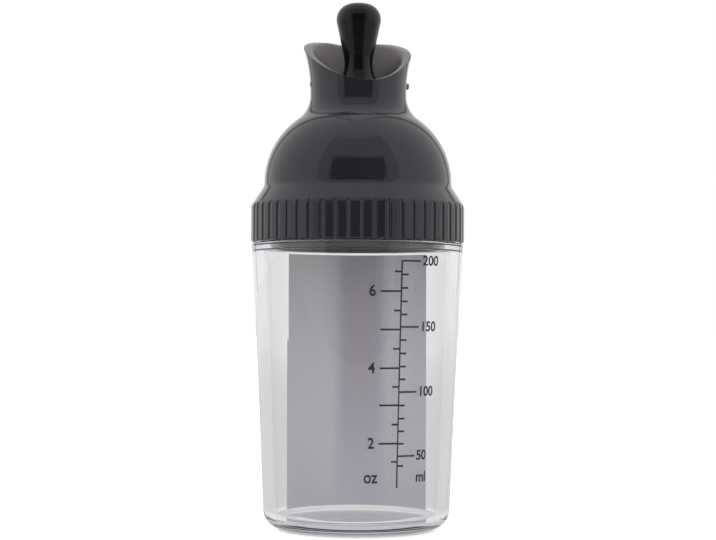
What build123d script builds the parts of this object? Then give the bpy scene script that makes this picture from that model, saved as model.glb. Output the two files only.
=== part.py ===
from build123d import *
import os
from math import sqrt

# Salad dressing shaker: a clear beaker with a screw-on domed lid, and a stopper on a lever in its slanted
# spout. Millimetres. +Z is up, the beaker stands on z = 0 with its axis on Z, the pivot pin lies along X and
# the pouring lip is on the +Y side.

# Beaker
foot_radius = 25.0
foot_width = 2.5
foot_height = 0.6
foot_step = 0.5
corner_height = 6.3
body_bottom_radius = 29.75
body_top_radius = 33.8
body_height = 91.0
body_hollow = 0.2
body_wall_bottom = 3.4
body_wall_top = 3.4
floor_thickness = 3.3
floor_corner_round = 0.9
shoulder_drop = 2.0
shoulder_round = 0.6
ledge_round = 0.5
ledge_width = 3.4
neck_wall = 2.2
neck_height = 10.9
lip_round = 0.6

# Lid gasket
gasket_thickness = 1.6
gasket_clearance = 0.2
lip_clearance = 0.3

# Lid collar
collar_gap = 0.4
thread_play = 1.0
collar_wall = 2.65
collar_top_round = 3.4
collar_bottom_round = 0.5
collar_round_drop = 2.0
rib_count = 52
rib_flat_half = 0.9
rib_crown_radius = 4.7
flute_radius = 0.8
flute_depth = 0.45

# Lid skirt
skirt_clearance = 0.3
skirt_wall = 1.4
skirt_length = 15.0
skirt_root = 2.0
skirt_round = 0.5

# Lid dome
dome_radius = 25.15
dome_step = 4.1
dome_wall = 2.2
dome_rise = 6.25
dome_foot_round = 3.3

# Spout
spout_radius = 15.4
spout_fillet = 9.25
spout_straight = 1.5
spout_flare = 44.0
mouth_flare = 42.0
spout_reach = 20.0
rim_low = 0.05
rim_side = 10.1
rim_tip = 15.45
rim_tip_reach = 14.1
rim_roll = 4.5
rim_outer_round = 0.45
rim_inner_round = 1.8

# Seat and pivot
seat_radius = 13.0
seat_lip = 6.3
seat_shelf = 1.7
pin_rise = 3.5
pin_radius = 1.0
pin_overhang = 0.65
pin_shift = 0.4
pin_end_round = 0.4
pin_clearance = 0.04

# Stopper: plug, lever and seal
seat_clearance = 0.3
plug_inset = 0.3
plug_depth = 6.0
plug_rise = 1.9
plug_edge_round = 0.5
plug_slant_start = 1.5
plug_slant_drop = 1.6
plug_recess_radius = 7.6
plug_recess_depth = 3.0
seal_drop = 3.6
seal_section_radius = 1.1
groove_clearance = 0.05
waist_radius = 4.53
waist_rise = 7.0
waist_curve = 11.5
knob_radius = 7.15
knob_round = 5.2
knob_rise = 21.1
lever_root = 0.6

# Paper insert
insert_thickness = 0.4
insert_clearance = 0.35
insert_half_width = 23.6
insert_top_gap = 0.7
insert_turn = -9.0

cut_overrun = 5.0
right_angle = 90.0
half_turn = 180.0

# Levels and radii that several pieces share
neck_radius = body_top_radius - ledge_width
floor_level = foot_height + floor_thickness
shoulder_level = body_height - shoulder_drop
lip_level = body_height + neck_height
seat_level = lip_level + lip_clearance + gasket_thickness + gasket_clearance
collar_bottom = body_height + collar_gap
bore_radius = neck_radius + thread_play
collar_radius = bore_radius + collar_wall
dome_base_radius = collar_radius - dome_step
dome_level = seat_level + dome_rise
dome_offset = dome_base_radius - dome_radius
fillet_offset = spout_radius + spout_fillet
fillet_rise = sqrt((dome_radius + spout_fillet) ** 2 - (fillet_offset - dome_offset) ** 2)
fillet_level = dome_level + fillet_rise
pin_level = fillet_level + pin_rise
plug_radius = seat_radius - seat_clearance - plug_inset


def inner_tangent(centre_a, radius_a, centre_b, radius_b, side):
    """Touch points of the line that passes between two circles. Going from a to b, the first circle lies on
    the line's right where side is 1, and on its left where side is -1."""
    across = centre_b - centre_a
    span = across.length
    share = (radius_a + radius_b) / span
    sideways = Vector(-across.Y, across.X) / span
    normal = across / span * -share - sideways * side * sqrt(1 - share**2)
    return centre_a - normal * radius_a, centre_b + normal * radius_b


def on_circle(centre, radius, towards):
    """The point of a circle that lies in the direction of another point."""
    return centre + (towards - centre).normalized() * radius


def between(centre, radius, start, end):
    """The shorter arc of a circle between two of its points."""
    middle = on_circle(centre, radius, (start + end) * 0.5)
    return ThreePointArc(start, middle, end)


def round_corner(face, corner, radius):
    """Round the corner of a flat outline that lies nearest to a point."""
    return fillet(face.vertices().sort_by_distance(corner)[0], radius)


def turned(outline):
    """Revolve an outline, drawn with the radius along X and the height along Y, about Z."""
    return revolve(Plane.XZ * outline, Axis.Z)


def wall_radius(level):
    """Inside radius of the beaker at a height."""
    inner_bottom = body_bottom_radius - body_wall_bottom
    inner_top = body_top_radius - body_wall_top
    return inner_bottom + (inner_top - inner_bottom) * (level - floor_level) / (shoulder_level - floor_level)


def make_bottle():
    """Clear beaker: foot ring, tapered side, ledge and neck, open at the top."""
    foot_inner = foot_radius - foot_width
    corner_foot = Vector(foot_radius + foot_step, foot_height)
    corner_top = Vector(body_bottom_radius, corner_height)
    ledge = Vector(body_top_radius, body_height)
    middle = (corner_top + ledge) * 0.5 - Vector(body_hollow, 0)
    side = ThreePointArc(corner_top, middle, ledge)
    corner = TangentArc(corner_top, corner_foot, tangent=side.tangent_at(0) * -1)
    neck_inner = neck_radius - neck_wall
    foot = Polyline(
        (0, foot_height),
        (foot_inner, foot_height),
        (foot_inner, 0),
        (foot_radius, 0),
        (foot_radius, foot_height),
        corner_foot,
    )
    inside = Polyline(
        ledge,
        (neck_radius, body_height),
        (neck_radius, lip_level),
        (neck_inner, lip_level),
        (neck_inner, shoulder_level),
        (wall_radius(shoulder_level), shoulder_level),
        (wall_radius(floor_level), floor_level),
        (0, floor_level),
        (0, foot_height),
    )
    outline = make_face(foot + corner + side + inside)
    outline = round_corner(outline, (wall_radius(floor_level), floor_level), floor_corner_round)
    outline = round_corner(outline, (wall_radius(shoulder_level), shoulder_level), shoulder_round)
    outline = round_corner(outline, ledge, ledge_round)
    outline = round_corner(outline, (neck_radius, lip_level), lip_round)
    outline = round_corner(outline, (neck_inner, lip_level), lip_round)
    return turned(outline)


def make_lid_gasket():
    """Flat ring under the lid's shoulder, over the beaker's lip."""
    outer = bore_radius - gasket_clearance
    inner = neck_radius - neck_wall
    ring = Circle(outer) - Circle(inner)
    return Pos(0, 0, lip_level + lip_clearance) * extrude(ring, gasket_thickness)


def make_lid_skin():
    """The lid as one solid lump: collar, dome and flaring spout."""
    dome_centre = Vector(dome_offset, dome_level)
    dome_foot = Vector(dome_base_radius, dome_level)
    fillet_centre = Vector(fillet_offset, fillet_level)
    dome_top = on_circle(dome_centre, dome_radius, fillet_centre)
    throat = Vector(spout_radius, fillet_level)
    collar_side = Vector(collar_radius, seat_level - collar_round_drop)
    round_centre = collar_side - Vector(collar_top_round, 0)
    foot_centre = dome_foot + Vector(dome_foot_round, 0)
    slope_low, slope_high = inner_tangent(round_centre, collar_top_round, foot_centre, dome_foot_round, -1)
    flare_start = throat + Vector(0, spout_straight)
    flare_centre = flare_start + Vector(spout_flare, 0)
    flare_end = flare_centre + Vector(-sqrt(spout_flare**2 - spout_reach**2), spout_reach)

    outline = Polyline((0, collar_bottom), (collar_radius, collar_bottom), collar_side)
    outline += between(round_centre, collar_top_round, collar_side, slope_low)
    outline += Line(slope_low, slope_high)
    outline += between(foot_centre, dome_foot_round, slope_high, dome_foot)
    outline += between(dome_centre, dome_radius, dome_foot, dome_top)
    outline += between(fillet_centre, spout_fillet, dome_top, throat)
    outline += Line(throat, flare_start)
    outline += between(flare_centre, spout_flare, flare_start, flare_end)
    outline += Polyline(flare_end, (0, flare_end.Y), (0, collar_bottom))
    skin = round_corner(make_face(outline), (collar_radius, collar_bottom), collar_bottom_round)
    return turned(skin)


def make_lid_hollow():
    """The lid's inside: thread bore, dome, throat, ball seat and flaring mouth."""
    dome_centre = Vector(dome_offset, dome_level)
    dome_inner_radius = dome_radius - dome_wall
    dome_foot = Vector(dome_offset + dome_inner_radius, dome_level)
    fillet_centre = Vector(fillet_offset, fillet_level)
    ceiling_radius = spout_fillet + dome_wall
    ceiling_start = on_circle(fillet_centre, ceiling_radius, dome_centre)
    seat_centre = Vector(0, pin_level)
    seat_foot = seat_centre + Vector(sqrt(seat_radius**2 - seat_lip**2), -seat_lip)
    shelf_level = seat_foot.Y - seat_shelf
    ceiling_drop = fillet_level - shelf_level
    shelf_edge = Vector(fillet_offset - sqrt(ceiling_radius**2 - ceiling_drop**2), shelf_level)
    mouth_start = seat_centre + Vector(seat_radius, 0)
    mouth_centre = mouth_start + Vector(mouth_flare, 0)
    mouth_end = mouth_centre + Vector(-sqrt(mouth_flare**2 - spout_reach**2), spout_reach)

    outline = Polyline(
        (0, collar_bottom - cut_overrun),
        (bore_radius, collar_bottom - cut_overrun),
        (bore_radius, seat_level),
        (dome_foot.X, seat_level),
        dome_foot,
    )
    outline += between(dome_centre, dome_inner_radius, dome_foot, ceiling_start)
    outline += between(fillet_centre, ceiling_radius, ceiling_start, shelf_edge)
    outline += Polyline(shelf_edge, (seat_foot.X, shelf_level), seat_foot)
    outline += between(seat_centre, seat_radius, seat_foot, mouth_start)
    outline += between(mouth_centre, mouth_flare, mouth_start, mouth_end)
    outline += Polyline(mouth_end, (0, mouth_end.Y), (0, collar_bottom - cut_overrun))
    return turned(make_face(outline))


def make_lid_skirt():
    """Thin skirt that hangs from the lid's shoulder inside the beaker's neck."""
    outer = neck_radius - neck_wall - skirt_clearance
    inner = outer - skirt_wall
    foot = seat_level - skirt_length
    root = seat_level + skirt_root
    outline = Polyline((inner, foot), (outer, foot), (outer, root + skirt_wall), (inner, root), (inner, foot))
    outline = round_corner(make_face(outline), (inner, foot), skirt_round)
    outline = round_corner(outline, (outer, foot), skirt_round)
    return turned(outline)


def make_flutes():
    """Sleeve that cuts the collar's side into ribs, each a flat with crowned edges, and a flute between each
    two. It runs out through the collar's rounded top."""
    crown_circle = collar_radius - sqrt(rib_crown_radius**2 - rib_flat_half**2)
    flute_circle = collar_radius - flute_depth + flute_radius
    rib_start = half_turn / rib_count - right_angle
    rib_places = PolarLocations(crown_circle, rib_count, start_angle=rib_start)
    flute_places = PolarLocations(flute_circle, rib_count, start_angle=-right_angle)
    crowns = Sketch() + rib_places * Circle(rib_crown_radius)
    flutes = Sketch() + flute_places * Circle(flute_radius)
    ring = Circle(collar_radius + cut_overrun) - Circle(crown_circle)
    sleeve = ring - crowns + (ring & flutes)
    height = seat_level - collar_bottom + cut_overrun
    return Pos(0, 0, collar_bottom - cut_overrun) * extrude(sleeve, height + cut_overrun)


def make_rim_cut():
    """Block above the spout's rim: a bowed slant, low at the back, that rolls over at the pouring lip."""
    back = Vector(-spout_radius, pin_level - rim_low)
    side = Vector(0, pin_level + rim_side)
    tip = Vector(rim_tip_reach, pin_level + rim_tip)
    bow = ThreePointArc(back, side, tip)
    bow_centre = bow.arc_center
    far = spout_radius + spout_flare - sqrt(spout_flare**2 - spout_reach**2) + cut_overrun
    top = tip.Y + spout_reach
    start = Vector(-far, bow_centre.Y + sqrt(bow.radius**2 - (far + bow_centre.X) ** 2))
    roll_centre = tip + (bow_centre - tip).normalized() * rim_roll
    roll_end = roll_centre + Vector(rim_roll, 0)
    outline = between(bow_centre, bow.radius, start, tip)
    outline += between(roll_centre, rim_roll, tip, roll_end)
    outline += Polyline(roll_end, (far, roll_end.Y), (far, top), (-far, top), start)
    return extrude(Plane.YZ * make_face(outline), far, both=True)


def round_rim(lid, hollow):
    """Round the spout's rim, more on the side of the mouth than outside."""
    above_pin = lid.faces().filter_by(GeomType.CYLINDER).filter_by(lambda face: face.center().Z > pin_level)
    rim_edges = above_pin.edges().filter_by(GeomType.LINE, reverse=True)
    mouth_edges = rim_edges.filter_by(lambda edge: hollow.distance_to(edge @ 0.5) < rim_outer_round)
    outer_edges = rim_edges.filter_by(lambda edge: hollow.distance_to(edge @ 0.5) > rim_outer_round)
    lid = fillet(outer_edges, rim_outer_round)
    return fillet(mouth_edges, rim_inner_round)


def make_pin_bore(radius, length):
    """Rod along the pivot axis."""
    return Pos(0, 0, pin_level) * Rot(0, right_angle, 0) * Cylinder(radius, length)


def make_lid():
    """Screw collar, inner skirt, dome, ball seat and spout in one moulding."""
    hollow = make_lid_hollow()
    lid = make_lid_skin() - hollow - make_rim_cut()
    lid = round_rim(lid, hollow)
    lid -= make_flutes()
    lid += make_lid_skirt()
    lid -= make_pin_bore(pin_radius + pin_clearance, (spout_radius + cut_overrun) * 2)
    return lid


def make_pivot_pin():
    """Pin through both walls of the neck. Its rounded ends stand out, a little further on the +X side."""
    pin = make_pin_bore(pin_radius, (spout_radius + pin_overhang) * 2)
    pin = fillet(pin.edges().filter_by(GeomType.CIRCLE), pin_end_round)
    return Pos(pin_shift, 0, 0) * pin


def seal_circle_radius():
    """Radius of the seal ring's centre line, which keeps the ring inside the seat."""
    reach = seat_radius - seat_clearance - seal_section_radius
    return sqrt(reach**2 - seal_drop**2)


def make_stopper_seal():
    """Round silicone ring below the pivot axis."""
    return Pos(0, 0, pin_level - seal_drop) * Torus(seal_circle_radius(), seal_section_radius)


def make_plug():
    """Ball-sided plug, hollow below, with a groove for the seal. Its top falls away towards the low side of
    the spout's rim."""
    centre = Vector(0, pin_level)
    foot = Vector(sqrt(plug_radius**2 - plug_depth**2), pin_level - plug_depth)
    top = Vector(sqrt(plug_radius**2 - plug_rise**2), pin_level + plug_rise)
    outline = Polyline(top, (0, top.Y), (0, foot.Y), foot) + between(centre, plug_radius, foot, top)
    outline = round_corner(make_face(outline), foot, plug_edge_round)
    outline = round_corner(outline, top, plug_edge_round)
    groove = Torus(seal_circle_radius(), seal_section_radius + groove_clearance)
    recess = Cylinder(plug_recess_radius, plug_recess_depth, align=(Align.CENTER, Align.CENTER, Align.MIN))
    slant = Polyline(
        (-plug_slant_start, top.Y),
        (-plug_radius, top.Y - plug_slant_drop),
        (-plug_radius, top.Y),
        (-plug_slant_start, top.Y),
    )
    plug = turned(outline) - Pos(0, 0, pin_level - seal_drop) * groove - Pos(0, 0, foot.Y) * recess
    return plug - extrude(Plane.YZ * make_face(slant), plug_radius, both=True)


def make_stopper_lever():
    """Plug on the pivot axis, with a waisted round lever that ends in a domed knob."""
    waist_centre = Vector(waist_radius + waist_curve, pin_level + waist_rise)
    root_drop = waist_rise - lever_root
    root = Vector(waist_centre.X - sqrt(waist_curve**2 - root_drop**2), pin_level + lever_root)
    knob_centre = Vector(knob_radius - knob_round, pin_level + knob_rise)
    taper_low, taper_high = inner_tangent(waist_centre, waist_curve, knob_centre, knob_round, 1)
    knob_top = knob_centre + Vector(0, knob_round)

    outline = Line((0, root.Y), root)
    outline += between(waist_centre, waist_curve, root, taper_low)
    outline += Line(taper_low, taper_high)
    outline += between(knob_centre, knob_round, taper_high, knob_top)
    outline += Polyline(knob_top, (0, knob_top.Y), (0, root.Y))
    lever = turned(make_face(outline)) + make_plug()
    return lever - make_pin_bore(pin_radius + pin_clearance, (seat_radius + cut_overrun) * 2)


def make_paper_insert():
    """Card curled against the far inside wall, standing on the floor, with upright side edges."""
    low = floor_level + floor_corner_round
    high = shoulder_level - insert_top_gap
    low_outer = wall_radius(low) - insert_clearance
    high_outer = wall_radius(high) - insert_clearance
    section = Polyline(
        (low_outer - insert_thickness, low),
        (low_outer, low),
        (high_outer, high),
        (high_outer - insert_thickness, high),
        (low_outer - insert_thickness, low),
    )
    sleeve = turned(make_face(section))
    window = Box(insert_half_width * 2, high_outer, high, align=(Align.CENTER, Align.MIN, Align.MIN))
    return Rot(0, 0, insert_turn) * (sleeve & window)


nodes = {
    "bottle": make_bottle(),
    "lid": make_lid(),
    "lid_gasket": make_lid_gasket(),
    "stopper_lever": make_stopper_lever(),
    "stopper_seal": make_stopper_seal(),
    "pivot_pin": make_pivot_pin(),
    "paper_insert": make_paper_insert(),
}

os.makedirs("parts", exist_ok=True)
for name, shape in nodes.items():
    export_step(shape, f"parts/{name}.step")
    box = shape.bounding_box()
    print(f"{name}: {len(shape.solids())} solid, x {box.min.X:.2f} to {box.max.X:.2f}, "
          f"y {box.min.Y:.2f} to {box.max.Y:.2f}, z {box.min.Z:.2f} to {box.max.Z:.2f}")
print(f"pivot axis at z {pin_level:.3f}, spout's straight neck from z {fillet_level:.3f}")
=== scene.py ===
import bpy
from math import cos, pi, radians, sin, tau
from mathutils import Matrix, Vector


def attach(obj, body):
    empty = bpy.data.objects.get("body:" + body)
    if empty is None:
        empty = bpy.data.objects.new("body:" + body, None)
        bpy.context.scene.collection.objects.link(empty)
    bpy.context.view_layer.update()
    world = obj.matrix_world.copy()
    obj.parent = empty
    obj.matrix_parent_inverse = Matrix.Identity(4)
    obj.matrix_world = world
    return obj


mm = 0.001

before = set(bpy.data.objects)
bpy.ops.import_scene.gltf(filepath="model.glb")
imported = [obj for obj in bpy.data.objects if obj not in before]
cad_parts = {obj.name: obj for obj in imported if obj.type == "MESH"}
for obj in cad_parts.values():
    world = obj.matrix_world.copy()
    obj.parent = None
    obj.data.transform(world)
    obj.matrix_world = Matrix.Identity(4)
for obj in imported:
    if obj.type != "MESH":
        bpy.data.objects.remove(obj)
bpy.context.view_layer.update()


# Small helpers

mergeDistance = 0.001 * mm


def deselectAll():
    bpy.ops.object.select_all(action="DESELECT")


def makeActive(piece):
    deselectAll()
    piece.select_set(True)
    bpy.context.view_layer.objects.active = piece


def startEdit(piece):  # edit mode, with the whole mesh selected
    makeActive(piece)
    bpy.ops.object.mode_set(mode="EDIT")
    bpy.ops.mesh.select_all(action="SELECT")


def endEdit():
    bpy.ops.object.mode_set(mode="OBJECT")


def applyPlace(piece):
    makeActive(piece)
    bpy.ops.object.transform_apply(location=True, rotation=True, scale=True)


def joinPieces(pieces, name):
    deselectAll()
    for piece in pieces:
        piece.select_set(True)
    bpy.context.view_layer.objects.active = pieces[0]
    bpy.ops.object.join()
    joined = bpy.context.object
    joined.name = name
    return joined


def applyModifier(piece, kind, name, **settings):
    makeActive(piece)
    modifier = piece.modifiers.new(name, kind)
    for setting, value in settings.items():
        setattr(modifier, setting, value)
    bpy.ops.object.modifier_apply(modifier=name)


# Node helpers that the finishes and the stage share

noiseRange = (0.3, 0.7)  # most of a noise texture's values lie between these


def newMaterial(name):
    material = bpy.data.materials.new(name)
    material.use_nodes = True
    tree = material.node_tree
    return material, tree, tree.nodes["Principled BSDF"]


def softNoise(tree, scale, stretch=(1, 1, 1)):  # in object space
    place = tree.nodes.new("ShaderNodeTexCoord")
    mapping = tree.nodes.new("ShaderNodeMapping")
    mapping.inputs["Scale"].default_value = stretch
    noise = tree.nodes.new("ShaderNodeTexNoise")
    noise.inputs["Scale"].default_value = scale
    tree.links.new(place.outputs["Object"], mapping.inputs["Vector"])
    tree.links.new(mapping.outputs["Vector"], noise.inputs["Vector"])
    return noise.outputs["Fac"]


def axesOf(tree, space, turn=0.0):  # x, y and z, after a turn in degrees about the bottle's axis
    place = tree.nodes.new("ShaderNodeTexCoord")
    turned = tree.nodes.new("ShaderNodeMapping")
    turned.inputs["Rotation"].default_value = (0, 0, radians(turn))
    axes = tree.nodes.new("ShaderNodeSeparateXYZ")
    tree.links.new(place.outputs[space], turned.inputs["Vector"])
    tree.links.new(turned.outputs["Vector"], axes.inputs["Vector"])
    return axes.outputs


def mathNode(tree, operation, *values):  # a number sets its socket, and an output is linked to it
    node = tree.nodes.new("ShaderNodeMath")
    node.operation = operation
    for socket, value in zip(node.inputs, values):
        if isinstance(value, (int, float)):
            socket.default_value = value
        else:
            tree.links.new(value, socket)
    return node.outputs[0]


def between(tree, noise, low, high):
    mapRange = tree.nodes.new("ShaderNodeMapRange")
    mapRange.inputs["From Min"].default_value = noiseRange[0]
    mapRange.inputs["From Max"].default_value = noiseRange[1]
    mapRange.inputs["To Min"].default_value = low
    mapRange.inputs["To Max"].default_value = high
    tree.links.new(noise, mapRange.inputs["Value"])
    return mapRange.outputs["Result"]


def ramped(tree, value, start, end):  # 0 at start, 1 at end, smooth between
    mapRange = tree.nodes.new("ShaderNodeMapRange")
    mapRange.interpolation_type = "SMOOTHSTEP"
    mapRange.inputs["From Min"].default_value = start
    mapRange.inputs["From Max"].default_value = end
    tree.links.new(value, mapRange.inputs["Value"])
    return mapRange.outputs["Result"]


def mixed(tree, kind, share, colour, other):
    mix = tree.nodes.new("ShaderNodeMix")
    mix.data_type = "RGBA"
    mix.blend_type = kind
    tree.links.new(share, mix.inputs[0])
    tree.links.new(colour, mix.inputs[6])  # the node's colours are its seventh and eighth inputs
    mix.inputs[7].default_value = (*other, 1)
    return mix.outputs[2]  # and its third output


def colourRange(tree, noise, dark, light):
    ramp = tree.nodes.new("ShaderNodeValToRGB")
    for element, place, colour in zip(ramp.color_ramp.elements, noiseRange, (dark, light)):
        element.position = place
        element.color = (*colour, 1)
    tree.links.new(noise, ramp.inputs["Fac"])
    return ramp.outputs["Color"]


def ripple(tree, shader, noise, height, strength):
    bump = tree.nodes.new("ShaderNodeBump")
    bump.inputs["Strength"].default_value = strength
    bump.inputs["Distance"].default_value = height
    tree.links.new(noise, bump.inputs["Height"])
    tree.links.new(bump.outputs["Normal"], shader.inputs["Normal"])


# Finishes

lidPlastic = {
    "dark": (0.0185, 0.0166, 0.0240),
    "light": (0.0226, 0.0205, 0.0290),
    "roughLow": 0.07,
    "roughHigh": 0.12,
    "ior": 1.5,
    "specular": 0.5,
    "toneScale": 60,
    "finishScale": 220,
    "rippleHeight": 0.02 * mm,
    "rippleStrength": 0.25,
    "mouth": {  # the spout's inside and its lip: painted light makes them paler than the lid, and they are also less polished
        "colour": (0.22, 0.196, 0.210),
        "rough": 0.3,  # added to the lid's own
        "radius": 15.2 * mm,
        "flare": 44 * mm,  # radius of the wall's curve outwards, from the level below
        "flareLevel": 139.845 * mm,
        "low": 141.5 * mm,
        "edge": 0.35 * mm,
    },
    "flutes": {  # the collar's flutes: a painted highlight makes them paler, and they are also less polished
        "colour": (0.058, 0.054, 0.062),
        "rough": 0.25,
        "radius": (32.9 * mm, 33.73 * mm),
        "level": (91.0 * mm, 103.2 * mm),
        "edge": 0.12 * mm,
    },
}

leverPlastic = {
    "dark": (0.0014, 0.0014, 0.0012),
    "light": (0.0024, 0.0024, 0.0021),
    "roughLow": 0.13,
    "roughHigh": 0.18,
    "ior": 1.45,
    "specular": 0.36,
    "toneScale": 90,
    "finishScale": 300,
    "rippleHeight": 0.02 * mm,
    "rippleStrength": 0.25,
}


# mask for the mouth's painted light and its rougher finish
def mouthShare(tree, radius, level, zone):  # 1 inside the mouth's flaring wall and 0 elsewhere
    climb = mathNode(tree, "SUBTRACT", level, zone["flareLevel"])
    fall = mathNode(tree, "POWER", climb, 2)
    fall = mathNode(tree, "SUBTRACT", zone["flare"] ** 2, fall)
    fall = mathNode(tree, "SQRT", fall)
    wall = mathNode(tree, "SUBTRACT", zone["radius"] + zone["flare"], fall)
    depth = mathNode(tree, "SUBTRACT", wall, radius)
    within = ramped(tree, depth, 0, zone["edge"])
    high = ramped(tree, level, zone["low"], zone["low"] + zone["edge"])
    return mathNode(tree, "MULTIPLY", within, high)


# mask for the flutes' painted highlight and their rougher finish
def flutesShare(tree, radius, level, zone):  # 1 at the bottom of the flutes and 0 elsewhere
    edge = zone["edge"]
    inner, outer = zone["radius"]
    low, high = zone["level"]
    beyond = ramped(tree, radius, inner - edge, inner)
    within = ramped(tree, radius, outer, outer - edge)
    above = ramped(tree, level, low, low + edge)
    below = ramped(tree, level, high, high - edge)
    ring = mathNode(tree, "MULTIPLY", beyond, within)
    band = mathNode(tree, "MULTIPLY", above, below)
    return mathNode(tree, "MULTIPLY", ring, band)


def addZones(tree, colour, roughness, values):
    axes = axesOf(tree, "Object")
    acrossSquare = mathNode(tree, "POWER", axes["X"], 2)
    alongSquare = mathNode(tree, "POWER", axes["Y"], 2)
    radius = mathNode(tree, "SQRT", mathNode(tree, "ADD", acrossSquare, alongSquare))
    for zoneShare, zone in ((mouthShare, values["mouth"]), (flutesShare, values["flutes"])):
        share = zoneShare(tree, radius, axes["Z"], zone)
        # painted light: each zone's paler colour is painted in, a painted glow in the mouth and painted
        # highlight lines in the flutes
        colour = mixed(tree, "MIX", share, colour, zone["colour"])
        extra = mathNode(tree, "MULTIPLY", share, zone["rough"])
        roughness = mathNode(tree, "ADD", roughness, extra)
    return colour, roughness


def glossPlastic(name, values):
    material, tree, shader = newMaterial(name)
    shader.inputs["IOR"].default_value = values["ior"]
    shader.inputs["Specular IOR Level"].default_value = values["specular"]
    tone = softNoise(tree, values["toneScale"])
    finish = softNoise(tree, values["finishScale"])
    colour = colourRange(tree, tone, values["dark"], values["light"])
    roughness = between(tree, finish, values["roughLow"], values["roughHigh"])
    if "mouth" in values:
        colour, roughness = addZones(tree, colour, roughness, values)
    tree.links.new(colour, shader.inputs["Base Color"])
    tree.links.new(roughness, shader.inputs["Roughness"])
    ripple(tree, shader, tone, values["rippleHeight"], values["rippleStrength"])
    return material


clearPlastic = {
    "colour": (1.0, 1.0, 1.0),
    "absorbs": (0.70, 0.71, 0.785),
    "density": 26.0,  # per metre of plastic, so a thick edge looks grey
    "roughLow": 0.0,
    "roughHigh": 0.02,
    "ior": 1.54,
    "rippleScale": 35,
    "rippleHeight": 0.03 * mm,
    "rippleStrength": 0.25,
}


def clearMoulding(values):
    material, tree, shader = newMaterial("clear_plastic_moulding")
    shader.inputs["Base Color"].default_value = (*values["colour"], 1)
    shader.inputs["Transmission Weight"].default_value = 1.0
    shader.inputs["IOR"].default_value = values["ior"]
    finish = softNoise(tree, values["rippleScale"])
    roughness = between(tree, finish, values["roughLow"], values["roughHigh"])
    tree.links.new(roughness, shader.inputs["Roughness"])
    ripple(tree, shader, finish, values["rippleHeight"], values["rippleStrength"])
    body = tree.nodes.new("ShaderNodeVolumeAbsorption")
    body.inputs["Color"].default_value = (*values["absorbs"], 1)
    body.inputs["Density"].default_value = values["density"]
    tree.links.new(body.outputs["Volume"], tree.nodes["Material Output"].inputs["Volume"])
    return material


def mattBody(shader, values):  # light goes a little way in, and comes through a thin piece
    shader.inputs["Roughness"].default_value = values["roughness"]
    shader.inputs["Subsurface Weight"].default_value = values["scatter"]
    shader.inputs["Subsurface Radius"].default_value = values["scatterDepth"]


cardStock = {
    "dark": (0.86, 0.85, 0.96),
    "light": (0.93, 0.92, 0.99),
    "paintedShade": (0.76, 0.745, 0.725),  # painted shade: a warmer, darker stripe up the middle, which fades in upwards
    "paintedShadeCentre": 1.2 * mm,
    "paintedShadeHalf": 4.5 * mm,
    "paintedShadeEdge": 6.5 * mm,
    "paintedShadeLow": -15 * mm,
    "paintedShadeHigh": 50 * mm,
    "turn": 9.0,  # degrees, as the card lies in the bottle
    "roughness": 0.75,
    "scatter": 1.0,
    "scatterDepth": (10 * mm, 10 * mm, 10 * mm),  # before the shader's own scale of 0.05
    "streakScale": 60,
    "streakStretch": (1, 1, 0.18),
    "fibreScale": 1800,
    "fibreHeight": 0.03 * mm,
    "fibreStrength": 0.2,
}


def greyCard(values):
    material, tree, shader = newMaterial("card_stock")
    mattBody(shader, values)
    streaks = softNoise(tree, values["streakScale"], values["streakStretch"])
    fibres = softNoise(tree, values["fibreScale"])
    colour = colourRange(tree, streaks, values["dark"], values["light"])
    axes = axesOf(tree, "Object", values["turn"])
    # painted shade down the card's middle, deeper higher up
    aside = mathNode(tree, "SUBTRACT", axes["X"], values["paintedShadeCentre"])
    aside = mathNode(tree, "ABSOLUTE", aside)
    stripe = ramped(tree, aside, values["paintedShadeHalf"] + values["paintedShadeEdge"], values["paintedShadeHalf"])
    upper = ramped(tree, axes["Z"], values["paintedShadeLow"], values["paintedShadeHigh"])
    paintedShadeShare = mathNode(tree, "MULTIPLY", stripe, upper)
    colour = mixed(tree, "MULTIPLY", paintedShadeShare, colour, values["paintedShade"])
    tree.links.new(colour, shader.inputs["Base Color"])
    ripple(tree, shader, fibres, values["fibreHeight"], values["fibreStrength"])
    return material


silicone = {
    "dark": (0.50, 0.50, 0.51),
    "light": (0.58, 0.58, 0.59),
    "roughness": 0.45,
    "scatter": 0.15,
    "scatterDepth": (2 * mm, 2 * mm, 2 * mm),  # before the shader's own scale of 0.05
    "toneScale": 120,
    "grainScale": 900,
    "grainHeight": 0.02 * mm,
    "grainStrength": 0.4,
}


def sealSilicone(values):
    material, tree, shader = newMaterial("seal_silicone_matt")
    mattBody(shader, values)
    tone = softNoise(tree, values["toneScale"])
    grain = softNoise(tree, values["grainScale"])
    colour = colourRange(tree, tone, values["dark"], values["light"])
    tree.links.new(colour, shader.inputs["Base Color"])
    ripple(tree, shader, grain, values["grainHeight"], values["grainStrength"])
    return material


pinSteel = {
    "dark": (0.20, 0.20, 0.21),
    "light": (0.30, 0.30, 0.31),
    "roughLow": 0.30,
    "roughHigh": 0.42,
    "drawScale": 1400,
    "drawStretch": (0.05, 1, 1),  # marks run along the pin
}


def drawnSteel(values):
    material, tree, shader = newMaterial("pin_steel_drawn")
    shader.inputs["Metallic"].default_value = 1.0
    draw = softNoise(tree, values["drawScale"], values["drawStretch"])
    colour = colourRange(tree, draw, values["dark"], values["light"])
    roughness = between(tree, draw, values["roughLow"], values["roughHigh"])
    tree.links.new(colour, shader.inputs["Base Color"])
    tree.links.new(roughness, shader.inputs["Roughness"])
    return material


ink = {
    "dark": (0.024, 0.022, 0.028),
    "light": (0.032, 0.030, 0.036),
    "roughness": 0.5,
    "toneScale": 700,
}


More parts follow.
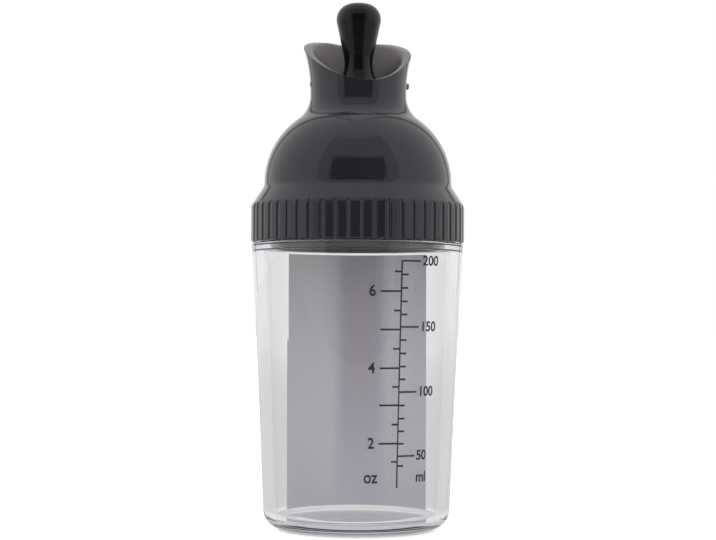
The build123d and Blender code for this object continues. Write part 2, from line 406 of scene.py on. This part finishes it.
def screenInk(values):
    material, tree, shader = newMaterial("screen_ink")
    shader.inputs["Roughness"].default_value = values["roughness"]
    tone = softNoise(tree, values["toneScale"])
    colour = colourRange(tree, tone, values["dark"], values["light"])
    tree.links.new(colour, shader.inputs["Base Color"])
    return material


def dress(node, material):
    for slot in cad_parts[node].material_slots:
        slot.material = material


clear = clearMoulding(clearPlastic)
charcoal = glossPlastic("charcoal_plastic_gloss", lidPlastic)
seal = sealSilicone(silicone)
dress("bottle", clear)
dress("lid", charcoal)
dress("lid_gasket", seal)
dress("stopper_lever", glossPlastic("black_plastic_gloss", leverPlastic))
dress("stopper_seal", seal)
dress("pivot_pin", drawnSteel(pinSteel))
dress("paper_insert", greyCard(cardStock))
print("finishes on the packed nodes")


# Scale printed on the wall, drawn flat and then wrapped on

printedScale = {
    "turn": 15.0,  # degrees from the back to the upright, towards the pin's right end
    "wrapRadius": 32.0 * mm,  # about the wall's own, halfway up
    "lineWidth": 0.48 * mm,
    "lineLow": 15.5 * mm,
    "lineHigh": 85.1 * mm,
    "lineCuts": 32,
    "tickWidth": 0.56 * mm,
    "longTick": 6.4 * mm,
    "shortTick": 2.2 * mm,
    "tickCuts": 8,
    "mlLong": {"200": 84.9, "150": 64.7, "100": 44.8, "50": 25.2},  # heights in millimetres
    "mlShort": (80.7, 76.6, 72.5, 68.5, 60.7, 56.6, 52.6, 48.7, 40.7, 36.7, 32.8, 29.0, 22.2),
    "ozLong": {"6": 75.6, "5": 63.9, "4": 52.1, "3": 40.8, "2": 29.1},
    "ozNumbered": ("6", "4", "2"),
    "ozShort": (81.6, 69.7, 58.0, 46.4, 34.9, 23.5),
    "mlText": {
        "across": 7.1 * mm,
        "anchor": "LEFT",
        "width": 1.0,
        "digitSize": 4.2 * mm,
        "unitSize": 4.5 * mm,
    },
    "ozText": {
        "across": -8.9 * mm,
        "anchor": "CENTER",
        "width": 0.9,
        "digitSize": 4.65 * mm,
        "unitSize": 5.2 * mm,
    },
    "unitHeight": 17.2 * mm,
    "weight": 0.1 * mm,  # how far each letter's outline is moved outwards
    "lift": 0.02 * mm,
    "filmThickness": 0.03 * mm,
}


def flatBar(start, end, bottom, top, cuts):
    deselectAll()
    middle = ((start + end) / 2, 0, (bottom + top) / 2)
    bpy.ops.mesh.primitive_plane_add(size=1, location=middle, rotation=(pi / 2, 0, 0))
    bar = bpy.context.object
    bar.scale = (end - start, top - bottom, 1)
    applyPlace(bar)
    startEdit(bar)
    bpy.ops.mesh.subdivide(number_cuts=cuts)
    endEdit()
    return bar


def flatTicks(start, end, heights, values):
    half = values["tickWidth"] / 2
    levels = [height * mm for height in heights]
    return [flatBar(start, end, level - half, level + half, values["tickCuts"]) for level in levels]


def flatWord(word, level, size, alignY, text, weight):
    deselectAll()
    bpy.ops.object.text_add(location=(text["across"], 0, level), rotation=(pi / 2, 0, 0))
    label = bpy.context.object
    label.data.body = word
    label.data.size = size
    label.data.align_x = text["anchor"]
    label.data.align_y = alignY
    label.data.offset = weight
    label.scale = (text["width"], 1, 1)
    bpy.ops.object.convert(target="MESH")
    label = bpy.context.object
    applyPlace(label)
    return label


def wrapOnWall(piece, values):
    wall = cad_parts["bottle"]
    turn = radians(values["turn"])
    radius = values["wrapRadius"]
    for vertex in piece.data.vertices:
        angle = turn + vertex.co.x / radius
        vertex.co = Vector((radius * sin(angle), -radius * cos(angle), vertex.co.z))
    applyModifier(piece, "SHRINKWRAP", "onWall", target=wall, wrap_method="NEAREST_SURFACEPOINT",
                  wrap_mode="OUTSIDE_SURFACE", offset=values["lift"])


def makePrintedScale(values):
    half = values["lineWidth"] / 2
    long, short = values["longTick"], values["shortTick"]
    art = [flatBar(-half, half, values["lineLow"], values["lineHigh"], values["lineCuts"])]
    art += flatTicks(half, long, values["mlLong"].values(), values)
    art += flatTicks(half, short, values["mlShort"], values)
    art += flatTicks(-long, -half, values["ozLong"].values(), values)
    art += flatTicks(-short, -half, values["ozShort"], values)
    mlText, ozText, weight = values["mlText"], values["ozText"], values["weight"]
    for number, height in values["mlLong"].items():
        art.append(flatWord(number, height * mm, mlText["digitSize"], "CENTER", mlText, weight))
    for number in values["ozNumbered"]:
        level = values["ozLong"][number] * mm
        art.append(flatWord(number, level, ozText["digitSize"], "CENTER", ozText, weight))
    for unit, text in (("oz", ozText), ("ml", mlText)):
        art.append(flatWord(unit, values["unitHeight"], text["unitSize"], "BOTTOM_BASELINE", text, weight))
    scale = joinPieces(art, "printed_scale")
    wrapOnWall(scale, values)
    applyModifier(scale, "SOLIDIFY", "film", thickness=values["filmThickness"], offset=1.0)
    scale.data.materials.clear()
    scale.data.materials.append(screenInk(ink))
    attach(scale, "bottle_body")


makePrintedScale(printedScale)
print("scale printed on the wall")


# Screw threads: a ridge on the neck, and one in the collar that runs between the neck's turns

ridgeCorners = 4  # in the ridge's section

neckThread = {
    "start": 95.2 * mm,
    "pitch": 4.2 * mm,
    "turns": 1.3,
    "root": 30.35 * mm,
    "crest": 31.1 * mm,
    "rootWidth": 1.7 * mm,
    "crestWidth": 0.7 * mm,
    "stepsPerTurn": 72,
    "fade": 0.12,  # turns over which each end rises out of the wall
    "endHeight": 0.08,  # share of the full height
    "smoothAngle": 30,  # degrees
}

lidThread = {
    "start": 93.6 * mm,
    "pitch": 4.2 * mm,
    "turns": 1.4,
    "root": 31.45 * mm,
    "crest": 30.7 * mm,
    "rootWidth": 1.5 * mm,
    "crestWidth": 0.7 * mm,
    "stepsPerTurn": 72,
    "fade": 0.12,
    "endHeight": 0.08,
    "smoothAngle": 30,
}


def ridgeSection(name, values):  # the outline that is swept: a trapezium, narrower at the crest
    root, crest, start = values["root"], values["crest"], values["start"]
    deselectAll()
    middle = ((root + crest) / 2, 0, start)
    bpy.ops.mesh.primitive_plane_add(size=1, location=middle, rotation=(pi / 2, 0, 0))
    ridge = bpy.context.object
    ridge.name = name
    ridge.scale = (abs(crest - root), values["rootWidth"], 1)
    applyPlace(ridge)
    for vertex in ridge.data.vertices:
        if abs(vertex.co.x - crest) < abs(vertex.co.x - root):
            side = 1 if vertex.co.z > start else -1
            vertex.co.z = start + side * values["crestWidth"] / 2
    startEdit(ridge)
    bpy.ops.mesh.delete(type="ONLY_FACE")
    endEdit()
    return ridge


def fadeEnds(ridge, steps, values):  # the ridge rises out of the wall at its start and sinks back at its end
    root = values["root"]
    for index, vertex in enumerate(ridge.data.vertices):
        along = (index // ridgeCorners) / steps * values["turns"]
        rise = min(along, values["turns"] - along) / values["fade"]
        if rise < 1:
            radius = Vector((vertex.co.x, vertex.co.y, 0)).length
            wanted = root + (radius - root) * max(rise, values["endHeight"])
            vertex.co.x *= wanted / radius
            vertex.co.y *= wanted / radius


def makeThread(name, body, material, values):
    ridge = ridgeSection(name, values)
    steps = round(values["stepsPerTurn"] * values["turns"])
    climb = values["pitch"] * values["turns"]
    applyModifier(ridge, "SCREW", "helix", angle=tau * values["turns"], screw_offset=climb, steps=steps,
                  render_steps=steps, use_smooth_shade=False)
    startEdit(ridge)
    bpy.ops.mesh.fill_holes(sides=ridgeCorners)
    endEdit()
    fadeEnds(ridge, steps, values)
    startEdit(ridge)
    bpy.ops.mesh.remove_doubles(threshold=mergeDistance)
    bpy.ops.mesh.normals_make_consistent(inside=False)
    endEdit()
    bpy.ops.object.shade_smooth_by_angle(angle=radians(values["smoothAngle"]))
    ridge.data.materials.append(material)
    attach(ridge, body)


makeThread("neck_thread", "bottle_body", clear, neckThread)
makeThread("collar_thread", "lid_body", charcoal, lidThread)
print("screw threads")


# Stage, light tent and camera

viewpoint = {
    "distance": 590 * mm,
    "eyeLevel": 70 * mm,
    "turn": 9.0,  # this, the pitch and the roll are in degrees
    "pitch": 1.213,
    "roll": 0.3,
    "focalPixels": 1842,
    "imageWidth": 716,
    "sensor": 36.0,  # its width in millimetres
    "axisOffsetPixels": 0.55,
    "dropPixels": -0.2,
    "nearestSeen": 10 * mm,
}

tent = {
    "floorSize": 4.5,
    "floorFront": 0.45,  # metres from the bottle to the front edge, past which lies the dark side of the room
    "floorColour": (0.70, 0.70, 0.70),
    "floorSeen": 0.75,
    "floorMirrored": 0.55,
    "floorThroughWall": (0.50, 0.67),  # near the bottle and far from it
    "nearFar": (0.3, 2.5),  # metres from the bottle
    "floorShadowed": (0.22, 0.22, 0.22),  # its colour when mirrored or seen through the wall
    "throughWall": 0.86,  # brightness of the tent through the clear wall
    "level": 1.0,
    "backStops": ((0, 1.0), (28, 1.0), (30, 0.35), (34, 0.35), (36, 1.0)),  # degrees from behind, brightness
    "frontHalfWidth": 38,  # degrees either side of the camera
    "frontHeight": 34,
    "frontSideStops": ((0, 0.16), (0.88, 0.16), (0.95, 0.67), (1.3, 0.67), (1.4, 1.0)),  # shares of its width
    "frontTopStops": ((0, 0.16), (0.93, 0.16), (1.0, 0.67), (1.85, 0.67), (1.95, 1.0)),  # and of its height
    "frontReach": 3.0,
}

lightBounces = {  # with fewer, black bands show in the clear base, where light turns many times
    "all": 24,
    "glossy": 16,
    "transmission": 20,
}


def paleFloor(values):
    material, tree, shader = newMaterial("pale_floor")
    tree.nodes.remove(shader)
    matt = tree.nodes.new("ShaderNodeBsdfDiffuse")
    matt.inputs["Color"].default_value = (*values["floorColour"], 1)
    shadowed = tree.nodes.new("ShaderNodeBsdfDiffuse")
    shadowed.inputs["Color"].default_value = (*values["floorShadowed"], 1)
    rays = tree.nodes.new("ShaderNodeLightPath").outputs
    mirrorRay, clearRay = rays["Is Glossy Ray"], rays["Is Transmission Ray"]
    seen = mathNode(tree, "MULTIPLY", rays["Is Camera Ray"], values["floorSeen"])
    mirrored = mathNode(tree, "SUBTRACT", mirrorRay, clearRay)  # a ray through the wall counts as both
    mirrored = mathNode(tree, "MULTIPLY", mirrored, values["floorMirrored"])
    place = tree.nodes.new("ShaderNodeTexCoord")
    distance = tree.nodes.new("ShaderNodeVectorMath")
    distance.operation = "LENGTH"
    tree.links.new(place.outputs["Object"], distance.inputs[0])
    far = ramped(tree, distance.outputs["Value"], *values["nearFar"])
    nearLight, farLight = values["floorThroughWall"]
    through = mathNode(tree, "MULTIPLY", far, farLight - nearLight)
    through = mathNode(tree, "ADD", through, nearLight)
    through = mathNode(tree, "MULTIPLY", through, clearRay)
    light = mathNode(tree, "MAXIMUM", mathNode(tree, "MAXIMUM", seen, mirrored), through)
    surface = tree.nodes.new("ShaderNodeMixShader")
    glow = tree.nodes.new("ShaderNodeEmission")
    both = tree.nodes.new("ShaderNodeAddShader")
    tree.links.new(mathNode(tree, "MAXIMUM", mirrorRay, clearRay), surface.inputs["Fac"])
    tree.links.new(matt.outputs[0], surface.inputs[1])
    tree.links.new(shadowed.outputs[0], surface.inputs[2])
    tree.links.new(light, glow.inputs["Strength"])
    tree.links.new(surface.outputs[0], both.inputs[0])
    tree.links.new(glow.outputs[0], both.inputs[1])
    tree.links.new(both.outputs[0], tree.nodes["Material Output"].inputs["Surface"])
    return material


def brightnessRamp(tree, value, stops, reach):
    ramp = tree.nodes.new("ShaderNodeValToRGB")
    elements = ramp.color_ramp.elements
    while len(elements) > 1:
        elements.remove(elements[-1])
    for index, (place, level) in enumerate(stops):
        element = elements[0] if index == 0 else elements.new(place / reach)
        element.position = place / reach
        element.color = (level, level, level, 1)
    tree.links.new(mathNode(tree, "DIVIDE", value, reach), ramp.inputs["Fac"])
    return ramp.outputs["Color"]


def lightTent(values, turn):
    world = bpy.data.worlds.new("light_tent")
    bpy.context.scene.world = world
    world.use_nodes = True
    tree = world.node_tree
    halfCircle = 180  # degrees
    axes = axesOf(tree, "Generated", turn)  # of a ray's direction, turned with the camera
    around = mathNode(tree, "ARCTAN2", axes["X"], axes["Y"])
    fromBehind = mathNode(tree, "DEGREES", mathNode(tree, "ABSOLUTE", around))
    above = mathNode(tree, "DEGREES", mathNode(tree, "ARCSINE", axes["Z"]))
    above = mathNode(tree, "MAXIMUM", above, 0)
    fromFront = mathNode(tree, "SUBTRACT", halfCircle, fromBehind)
    sideways = mathNode(tree, "DIVIDE", fromFront, values["frontHalfWidth"])
    upwards = mathNode(tree, "DIVIDE", above, values["frontHeight"])
    back = brightnessRamp(tree, fromBehind, values["backStops"], halfCircle)
    side = brightnessRamp(tree, sideways, values["frontSideStops"], values["frontReach"])
    top = brightnessRamp(tree, upwards, values["frontTopStops"], values["frontReach"])
    light = mathNode(tree, "MULTIPLY", back, mathNode(tree, "MAXIMUM", side, top))
    light = mathNode(tree, "MULTIPLY", light, values["level"])
    rays = tree.nodes.new("ShaderNodeLightPath").outputs
    change = mathNode(tree, "SUBTRACT", values["throughWall"], light)
    change = mathNode(tree, "MULTIPLY", change, rays["Is Transmission Ray"])
    light = mathNode(tree, "ADD", light, change)
    strength = mathNode(tree, "MAXIMUM", light, rays["Is Camera Ray"])
    background = tree.nodes["Background"]
    background.inputs["Color"].default_value = (1, 1, 1, 1)
    tree.links.new(strength, background.inputs["Strength"])


def makeFloor(values, turn):
    deselectAll()
    angle = radians(turn)
    away = values["floorSize"] / 2 - values["floorFront"]
    bpy.ops.mesh.primitive_plane_add(size=values["floorSize"], rotation=(0, 0, -angle),
                                     location=(sin(angle) * away, cos(angle) * away, 0))
    floor = bpy.context.object
    floor.name = "floor"
    applyPlace(floor)
    floor.data.materials.append(paleFloor(values))


def makeCamera(values):
    turn = radians(values["turn"])
    look = Vector((sin(turn), cos(turn), 0))
    data = bpy.data.cameras.new("camera")
    data.sensor_width = values["sensor"]
    data.lens = values["focalPixels"] / values["imageWidth"] * values["sensor"]
    data.shift_x = values["axisOffsetPixels"] / values["imageWidth"]
    data.shift_y = -values["dropPixels"] / values["imageWidth"]
    data.clip_start = values["nearestSeen"]
    camera = bpy.data.objects.new("camera", data)
    bpy.context.scene.collection.objects.link(camera)
    pitch = radians(values["pitch"])
    aim = (look * cos(pitch) + Vector((0, 0, sin(pitch)))).normalized()
    facing = aim.to_track_quat("-Z", "Y")
    camera.rotation_mode = "QUATERNION"
    camera.rotation_quaternion = facing @ Matrix.Rotation(radians(values["roll"]), 3, "Z").to_quaternion()
    camera.location = look * -values["distance"] + Vector((0, 0, values["eyeLevel"]))
    bpy.context.scene.camera = camera


makeCamera(viewpoint)
makeFloor(tent, viewpoint["turn"])
lightTent(tent, viewpoint["turn"])
bpy.context.scene.view_settings.view_transform = "Standard"
bpy.context.scene.cycles.max_bounces = lightBounces["all"]
bpy.context.scene.cycles.glossy_bounces = lightBounces["glossy"]
bpy.context.scene.cycles.transmission_bounces = lightBounces["transmission"]
print("camera, floor and light tent")
